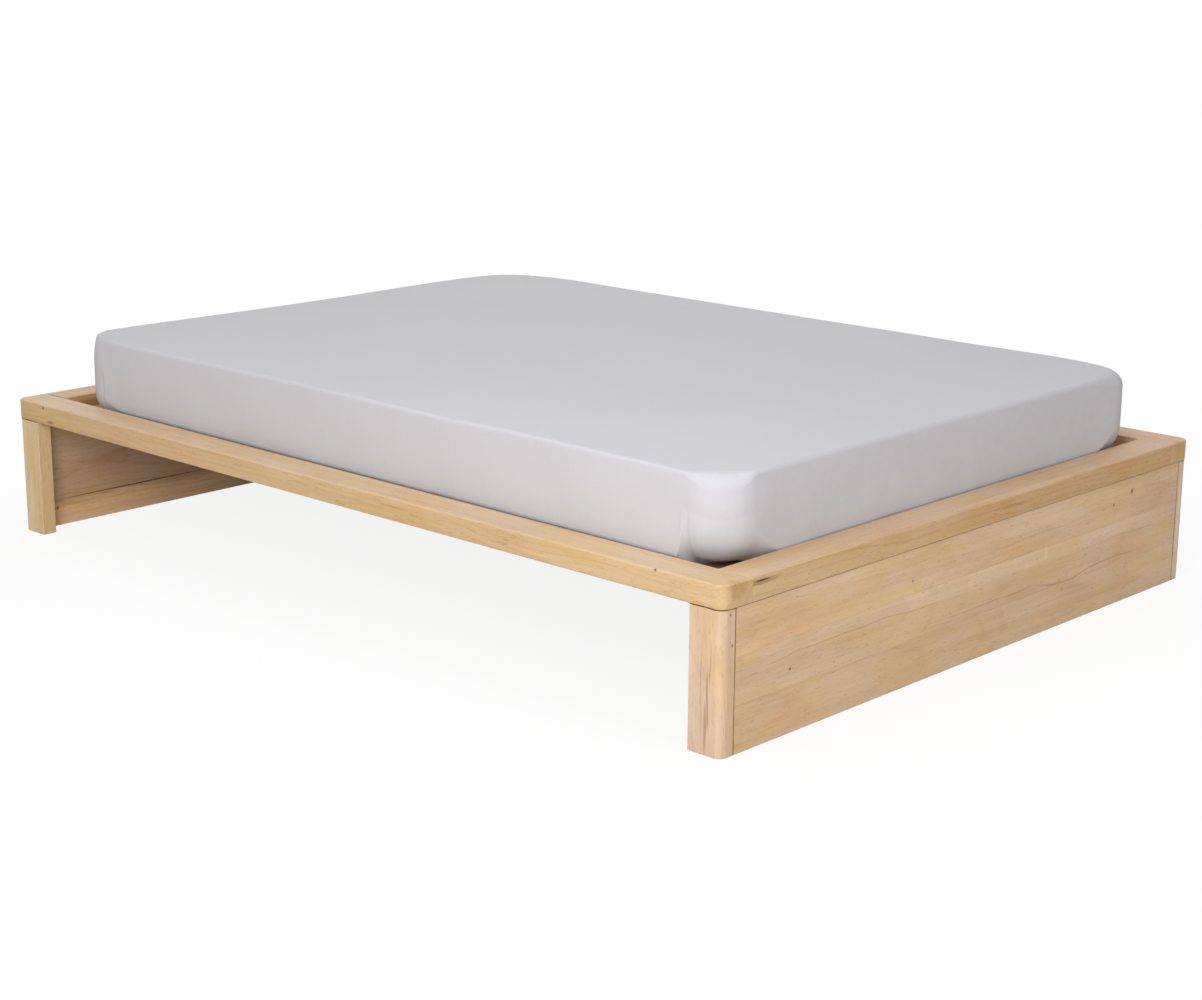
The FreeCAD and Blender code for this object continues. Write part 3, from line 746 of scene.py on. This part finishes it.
class SoftForm:
    """The mattress's form and the folds of the sheet that is stretched over it.

    corner is the round of its corners in plan, pull how far its sides are drawn in, tuck how
    deep its lower edge is turned in and near_tuck and far_tuck how much deeper at a corner.
    """

    corner, pull = 0.088, 0.004
    tuck, near_tuck, far_tuck = 0.0225, 0.030, 0.014
    corner_lift, corner_rise = 0.011, 0.5
    top_round, corner_round, crisp_round = 0.006, 0.034, 0.007
    crown, reach = 0.007, 0.33
    pleat_zone, corner_zone = (0.074, 0.090), (0.045, 0.150)

    def __init__(self, low, high):
        self.middle = (low[0] + high[0]) / 2, (low[1] + high[1]) / 2
        self.half = (high[0] - low[0]) / 2, (high[1] - low[1]) / 2
        self.base = low[2]
        self.ridge = high[2] - self.crown
        straight = sum(half - self.corner for half in self.half)
        rim = 4 * straight + 2 * pi * self.corner
        self.pucker_step = rim / round(rim / PUCKER_SPACING)
        self.gather_step = rim / round(rim / GATHER_SPACING)

    def near_corner(self, point):
        """1 at a corner of the form, falling to 0 a hand's breadth away."""
        sides = zip(self.half, (point.x, point.y))
        gap = hypot(*(half - CORNER_INSET - abs(v) for half, v in sides))
        return exp(-((gap / CORNER_SPREAD) ** 2))

    def edge_round(self, point):
        """The round of the upper edge: larger in the corners, but not at the front left.

        At the near corner, the front right, only the arc itself is rounder.
        """
        front_left = point.x < 0 and point.y < 0
        most = self.crisp_round if front_left else self.corner_round
        in_arc = abs(2 * point.out[0] * point.out[1])
        share = in_arc if point.x > 0 > point.y else self.near_corner(point)
        return self.top_round + (most - self.top_round) * share

    def drawn_up(self, point):
        """1 at a corner's foot, where the elastic draws the cloth in, and 0 away from it."""
        at_pleat = point.x > 0 and point.past < 0
        zone = self.pleat_zone if at_pleat else self.corner_zone
        return 1 - climb(abs(point.past), *zone)

    def tuck_at(self, point):
        """How far the lower edge is turned in, which the corners' elastic makes more."""
        more = self.near_tuck if point.x > 0 > point.y else self.far_tuck
        return self.tuck + more * self.drawn_up(point)

    def foot(self, point):
        """The height of the underside, which the right-hand corners' elastic lifts a little."""
        shallow = 1 - climb(point.depth, 0.02, 0.10)
        return self.base + self.corner_lift * self.drawn_up(point) * shallow * (point.x > 0)

    def sag(self, point):
        """How far the top sinks towards the far left corner."""
        from_left = point.x + self.half[0]
        return SAG_DEPTH * exp(-((from_left / SAG_LENGTH) ** 2)) * climb(point.y, -0.70, 0.10)

    def lean(self, point):
        """How far the front left corner's top leans in."""
        if point.x > 0 or point.y > 0:
            return 0.0
        return LEAN_MOST * self.near_corner(point)

    def ridge_wave(self, point):
        """Shallow waves of the upper edge, and a pucker every hand's breadth along the front."""
        x, y = point.x, point.y
        front = climb(-y, 0.50, 0.66)
        wave = (0.0014 + 0.0014 * front) * drift(x * 3.9, y * 3.9, 3.3)
        wave += 0.0013 * front * drift(x * 13, y * 13, 8.1)
        swing = sin(point.way * 2 * pi / self.pucker_step + 2.5 * drift(x * 2, y * 2, 5.0))
        return wave - PUCKER_DEPTH * front * max(0.0, swing) ** 9

    def top_height(self, point):
        soft = self.edge_round(point)
        missing = max(0.0, soft - point.depth)
        drop = soft - sqrt(soft * soft - missing * missing)
        rise = self.crown
        for half, v in zip(self.half, (point.x, point.y)):
            rise *= sin(min(1.0, (half - abs(v)) / self.reach) * pi / 2)
        broad = 0.0013 * drift(point.x * 3.1, point.y * 3.7, 1.0)
        broad += 0.0006 * drift(point.x * 9, point.y * 7, 4.0)
        height = self.ridge - drop + rise - self.sag(point)
        height += self.ridge_wave(point) * exp(-point.depth / 0.035)
        return height + broad * climb(point.depth, 0.0, 0.15)

    def stand_out(self, point, down):
        """How far the side stands out from its straight line, down from 0 to 1."""
        x, y = point.x, point.y
        corner = self.near_corner(point)
        drawn = -SIDE_DRAW * sin(pi * down) * (1 - corner)
        drag = 0.0020 * drift(x * 6, y * 6, down * 1.1) + 0.0012 * drift(x * 15, y * 15, down * 1.6)
        gathers = 0.0006 * corner * drift(point.way * 50, down, 1.0) * climb(down, 0.5, 0.9)
        creases = 0.0010 * corner * drift(down * 6, point.way * 14, 6.0)
        folds = gathers + creases * climb(down, 0.62, 0.95) + self.pleat(point, down)
        lean = self.lean(point) * (1 - down) ** 4
        return drawn - lean + drag * climb(down, 0.0, 0.5) + folds

    def pleat(self, point, down):
        """One upright pleat where a long side turns into the corner, deepest at its foot."""
        along = abs(point.x) - (self.half[0] - self.corner - PLEAT_SHIFT)
        if abs(point.y) < self.half[1] - self.corner or not PLEAT_START < along < PLEAT_END:
            return 0.0
        lip = PLEAT_LIP * climb(along, -0.03, 0.0) if along < 0 else 0.0
        fall = -PLEAT_FALL * exp(-along / PLEAT_WIDTH) if along >= 0 else 0.0
        fade = exp(-(((along - 0.024) / 0.020) ** 2))
        puckers = 0.0006 * sin(along * 2 * pi / 0.013) * fade * climb(down, 0.75, 1.0)
        return climb(down, 0.42, 0.85) * (lip + fall) + puckers

    def gathers(self, point):
        """The waves of the cloth that the elastic draws together underneath."""
        swing = sin(point.way * 2 * pi / self.gather_step + 2 * drift(point.x * 3, point.y * 3))
        return GATHER_HEIGHT * (1 + swing)


form = SoftForm(*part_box("fitted_sheet"))
print("form:", [round(2 * half, 3) for half in form.half], "ridge at", round(form.ridge, 3))

# %% [markdown]
# ## From form to mesh
#
# One routine builds both sheet and mattress. It lays the grid over the top, walks round its
# rim, and adds ring after ring: down the side, round the lower edge, and in underneath. Between
# the corners the lower edge is a plain slant, and in them a tall quarter of an oval. The sheet
# goes on to its hem, which curls over its elastic. The mattress keeps a few millimetres inside
# the sheet and closes underneath with the same grid again.

# %% Rings
SIDE_RINGS, TUCK_RINGS, UNDER_RINGS, CURL_RINGS = 28, 14, 9, 6
UNDER_WIDTH = 0.12
INNER_CORNER, HEM_CORNER = 0.012, 0.055
HEM_CURL, HEM_TURN = 0.0012, 1.6 * pi
MATTRESS_EASE = 0.0045


def ring_place(form, point, inward, least):
    """A rim point moved in from the rim, with its corner kept at least so round."""
    spare = max(0.0, inward - (form.corner - least))
    radius = max(form.corner - inward, least)
    place = []
    for half, centre, out in zip(form.half, point.centre, point.out):
        place.append(centre * (1 - spare / (half - form.corner)) + out * radius)
    return place


def draw_in(form, x, y):
    """Draws the sides in between the corners and moves the form to its place."""
    share_x = min(1.0, abs(x) / (form.half[0] - form.corner))
    share_y = min(1.0, abs(y) / (form.half[1] - form.corner))
    x *= 1 - form.pull / form.half[0] * (1 - share_y**2)
    y *= 1 - form.pull / form.half[1] * (1 - share_x**2)
    return x + form.middle[0], y + form.middle[1]


def ring_stations(closed):
    """The part of the form that each ring lies on, and how far along it."""
    parts = [("side", SIDE_RINGS), ("tuck", TUCK_RINGS)]
    if not closed:
        parts += [("under", UNDER_RINGS), ("curl", CURL_RINGS)]
    return [(part, (k + 1) / count) for part, count in parts for k in range(count)]


def ring_point(form, point, part, share, ease):
    """The place of one ring's point."""
    tuck, base, least = form.tuck_at(point), form.foot(point), INNER_CORNER
    soft = form.drawn_up(point)
    rise = tuck * (1 + form.corner_rise * soft)
    start = form.top_height(point)
    side = start - base - rise
    if part == "side":
        inward, height = -form.stand_out(point, share), start - share * side
    elif part == "tuck":
        angle = share * pi / 2
        inward = tuck * (share + soft * (1 - cos(angle) - share))
        inward -= form.stand_out(point, 1 + share * rise / side) * cos(angle)
        height = base + rise * (1 - share + soft * (share - sin(angle))) + ease * share
    elif part == "under":
        inward, least = tuck + share * (UNDER_WIDTH - tuck), HEM_CORNER * share
        height = form.base + (base - form.base) * (1 - share) + form.gathers(point) * share
    else:
        angle = share * HEM_TURN
        inward, least = UNDER_WIDTH + HEM_CURL * sin(angle), HEM_CORNER
        height = form.base + form.gathers(point) + HEM_CURL * (1 - cos(angle))
    least = max(least, INNER_CORNER)
    return (*draw_in(form, *ring_place(form, point, inward + ease, least)), height)


for closed, name in ((False, "sheet"), (True, "mattress")):
    print(f"rings on the {name}:", len(ring_stations(closed)))

# %% Soft mesh
CLOSED_LIFT = 0.001


def squeeze(value, half, corner, inward):
    """Draws the outer strip of a side in, so that the rim moves in and the middle stays."""
    depth = half - abs(value)
    if depth >= corner:
        return value
    return copysign(half - inward - depth * (corner - inward) / corner, value)


def top_points(form, grid, ease):
    """The grid's points on top of the form, or inside it by ease."""
    made = []
    for line in grid:
        for point in line:
            lean = form.lean(point) * exp(-point.depth / 0.03)
            x = squeeze(point.x, form.half[0], form.corner, ease) - point.out[0] * lean
            y = squeeze(point.y, form.half[1], form.corner, ease) - point.out[1] * lean
            made.append((*draw_in(form, x, y), form.top_height(point) - ease))
    return made


def soft_mesh(name, form, ease=0.0, closed=False):
    """The mesh of the form, kept inside it by ease, open underneath or closed."""
    columns, rows = (grid_lines(half) for half in form.half)
    grid = [[RimPoint(x, y, form.half, form.corner) for y in rows] for x in columns]
    last_column, last_row = len(columns) - 1, len(rows) - 1
    points = top_points(form, grid, ease)
    cells = [(i, j) for i in range(last_column) for j in range(last_row)]
    number = {(i, j): i * len(rows) + j for i in range(len(columns)) for j in range(len(rows))}
    faces = [
        (number[i, j], number[i + 1, j], number[i + 1, j + 1], number[i, j + 1]) for i, j in cells
    ]
    walk = [(i, 0) for i in range(last_column)] + [(last_column, j) for j in range(last_row)]
    walk += [(i, last_row) for i in range(last_column, 0, -1)]
    walk += [(0, j) for j in range(last_row, 0, -1)]
    ring = [number[spot] for spot in walk]
    for part, share in ring_stations(closed):
        made = list(range(len(points), len(points) + len(walk)))
        points += [ring_point(form, grid[i][j], part, share, ease) for i, j in walk]
        for k, above in enumerate(ring):
            after = (k + 1) % len(ring)
            faces.append((ring[after], above, made[k], made[after]))
        ring = made
    if closed:
        bottom = dict(zip(walk, ring))
        for i, j in number:
            if (i, j) not in bottom:
                point = grid[i][j]
                inward = form.tuck_at(point) + ease
                x = squeeze(point.x, form.half[0], form.corner, inward)
                y = squeeze(point.y, form.half[1], form.corner, inward)
                near_hem = 1 - climb(point.depth, 0.13, 0.20)
                lift = CLOSED_LIFT + (ease - CLOSED_LIFT) * near_hem
                bottom[i, j] = len(points)
                points.append((*draw_in(form, x, y), form.foot(point) + lift))
        for i, j in cells:
            faces.append((bottom[i, j + 1], bottom[i + 1, j + 1], bottom[i + 1, j], bottom[i, j]))
    mesh = bpy.data.meshes.new(name)
    mesh.from_pydata(points, [], faces)
    mesh.polygons.foreach_set("use_smooth", [True] * len(faces))
    return mesh


sheet_mesh = soft_mesh("fitted_sheet_cloth", form)
mattress_mesh = soft_mesh("mattress_body", form, MATTRESS_EASE, closed=True)
print("sheet faces:", len(sheet_mesh.polygons), "mattress faces:", len(mattress_mesh.polygons))

# %% [markdown]
# ## Cloth
#
# The sheet is a plain grey cotton, closely woven. At this distance the weave shows only as a
# fine tooth and as slubs, thicker threads that catch a little more light. Regular waves would
# shimmer where a thread is finer than a pixel, so the threads are noise drawn out both ways.
# The roughness is high because cotton has no gloss. The mattress's own cover is a pale ticking.

# %% Cloth finishes
THREADS, SLUB_LENGTH = 1100, 40


def cloth(name, colour, slub, sheen):
    """A woven cloth: colour, how much its threads vary, and the fuzz on its surface."""
    f = Finish(name, Sheen_Weight=sheen, Sheen_Roughness=0.5, Specular_IOR_Level=0.2)
    x, y, z = f.place()
    weft = f.cloud(f.point(x * SLUB_LENGTH, y * THREADS, z * THREADS), 1, 2, 0.6)
    warp = f.cloud(f.point(x * THREADS, y * SLUB_LENGTH, z * SLUB_LENGTH), 1, 2, 0.6)
    broad = f.cloud(f.point(x, y, z), 2.3, 3)
    level = 0.5 + (weft - 0.5) * slub + (warp - 0.5) * slub + (broad - 0.5) * 0.22
    stops = [(0.0, [v * 0.86 for v in colour]), (1.0, [min(1.0, v * 1.14) for v in colour])]
    f.feed(Base_Color=f.node("ValToRGB", {"stops": stops}, {0: level}))
    f.feed(Roughness=0.82 + (weft - 0.5) * 0.2, Normal=f.relief(weft + warp, 0.00009))
    return f.material


grey_cotton = cloth("grey_cotton", (0.578, 0.573, 0.590), 0.30, 0.04)
ticking = cloth("ticking", (0.78, 0.77, 0.73), 0.8, 0.1)
print("threads to the metre:", THREADS)

# %% [markdown]
# ## Mattress and sheet in place
#
# The sheet is a thin shell: a mesh of no thickness, thickened inwards by the cloth's own
# thickness. Its flat size is the mattress's top with two sides and two turned-in margins each
# way, less the squares that are cut out at the corners.

# %% Place them
CLOTH_THICKNESS = 0.0009

mattress = mesh_object("mattress_body", mattress_mesh, "bedding", ticking)
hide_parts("mattress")

sheet = mesh_object("fitted_sheet_cloth", sheet_mesh, "bedding", grey_cotton)
shell = sheet.modifiers.new("thickness", "SOLIDIFY")
shell.thickness = CLOTH_THICKNESS
shell.offset = -1
shell.use_even_offset = False

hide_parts("fitted_sheet")

# %% [markdown]
# ## Floor and light
#
# The photograph shows the bed cut out on white, without a shadow. A floor that is simply
# white would still be shaded, so to the camera, and to mirrors, it is mostly a steady white
# with a share of real shading, which keeps a faint shadow. Beneath the bed's rear half that
# share is large and a dark painted shade is mixed in, so that no white shines up through the
# gap at the near corner. The world is the same white to them and a soft grey light to everything
# else.
# A broad key light from beyond the near long side makes that side and the near leg the
# brightest, as in the photograph. A weak lamp behind the bed touches only what the photograph
# doesn't show.

# %% Floor
FLOOR_SIZE, FLOOR_DROP = 60, 0.0005
SHADOW_SHARE, BENEATH_SHARE, PAINTED_SHADE_SHARE = 0.12, 0.9, 0.7
SHADOW_FADE = 1.2, 2.1
BENEATH_FRONT, BENEATH_REAR, BENEATH_ENDS = (-0.10, 0.06), (0.55, 0.75), (0.9, 1.0)

floor_mesh = bpy.data.meshes.new("floor")
edge = FLOOR_SIZE / 2
outline = [(-edge, -edge), (edge, -edge), (edge, edge), (-edge, edge)]
floor_mesh.from_pydata([(x, y, -FLOOR_DROP) for x, y in outline], [], [(0, 1, 2, 3)])
ground = bpy.data.objects.new("floor", floor_mesh)
bpy.context.collection.objects.link(ground)
f = Finish("pale_floor", Roughness=0.95, Specular_IOR_Level=0.0, Base_Color=(0.70, 0.70, 0.71, 1))
x, y, _ = f.place()
near_bed = 1 - f.rise((x * x + y * y) ** 0.5, *SHADOW_FADE)
beneath = f.rise(y, *BENEATH_FRONT) * (1 - f.rise(y, *BENEATH_REAR))
beneath = beneath * (1 - f.rise(x.sum("ABSOLUTE", x), *BENEATH_ENDS))
kinds = "Camera", "Glossy", "Transmission"
rays = [f.node("LightPath", output=f"Is {kind} Ray") for kind in kinds]
direct = rays[0].sum("MAXIMUM", rays[0].sum("MAXIMUM", *rays[:2]), rays[2])
white = f.node("Emission", {}, {"Color": (1, 1, 1, 1), "Strength": 1.0})
bright = f.node("BsdfDiffuse", {}, {"Color": (0.95, 0.95, 0.95, 1)})
share = near_bed * SHADOW_SHARE + beneath * (BENEATH_SHARE - SHADOW_SHARE)
shown = f.node("MixShader", {}, {0: share, 1: white, 2: bright})
# Painted shade: a dark diffuse tone mixed into the floor beneath the bed.
painted_shade = f.node("BsdfDiffuse", {}, {"Color": (0.16, 0.15, 0.14, 1)})
shown = f.node("MixShader", {}, {0: beneath * PAINTED_SHADE_SHARE, 1: shown, 2: painted_shade})
lit = Wire(f, f.shader.outputs[0])
surface = f.node("MixShader", {}, {0: direct, 1: lit, 2: shown})
f.tree.links.new(surface.socket, f.tree.nodes["Material Output"].inputs["Surface"])
floor_mesh.materials.append(f.material)
print("floor:", FLOOR_SIZE, "m")

# %% World
WORLD_LEVEL = 0.48

world = bpy.data.worlds.new("studio")
bpy.context.scene.world = world
world.use_nodes = True
tree = world.node_tree
path, seen = tree.nodes.new("ShaderNodeLightPath"), tree.nodes.new("ShaderNodeMath")
seen.operation = "MAXIMUM"
tree.links.new(path.outputs["Is Camera Ray"], seen.inputs[0])
tree.links.new(path.outputs["Is Glossy Ray"], seen.inputs[1])
level = tree.nodes.new("ShaderNodeMapRange")
level.inputs["To Min"].default_value = WORLD_LEVEL
tree.links.new(seen.outputs[0], level.inputs["Value"])
tree.links.new(level.outputs[0], tree.nodes["Background"].inputs["Strength"])
tree.nodes["Background"].inputs["Color"].default_value = (1, 1, 1, 1)
bpy.context.scene.view_settings.view_transform = "Standard"
print("world level:", WORLD_LEVEL)

# %% Lamps


def soft_lamp(name, place, aim, size, power):
    """A square lamp that faces a point."""
    lamp = bpy.data.lights.new(name, "AREA")
    lamp.size, lamp.energy, lamp.color = size, power, (1.0, 0.993, 1.006)
    holder = bpy.data.objects.new(name, lamp)
    holder.location = place
    holder.rotation_euler = (Vector(aim) - Vector(place)).to_track_quat("-Z", "Y").to_euler()
    bpy.context.collection.objects.link(holder)


soft_lamp("key", (1.9, -3.5, 2.1), (0.5, -0.5, 0.3), 1.6, 87)
soft_lamp("top", (-0.6, -0.2, 4.2), (0, 0, 0.4), 2.5, 30)
soft_lamp("end", (4.2, -1.2, 2.0), (0.9, -0.4, 0.2), 2.0, 26)
soft_lamp("rear", (-3.0, 3.6, 1.9), (0, 0.4, 0.2), 2.5, 32)
print("lamps: key, top, end, rear")
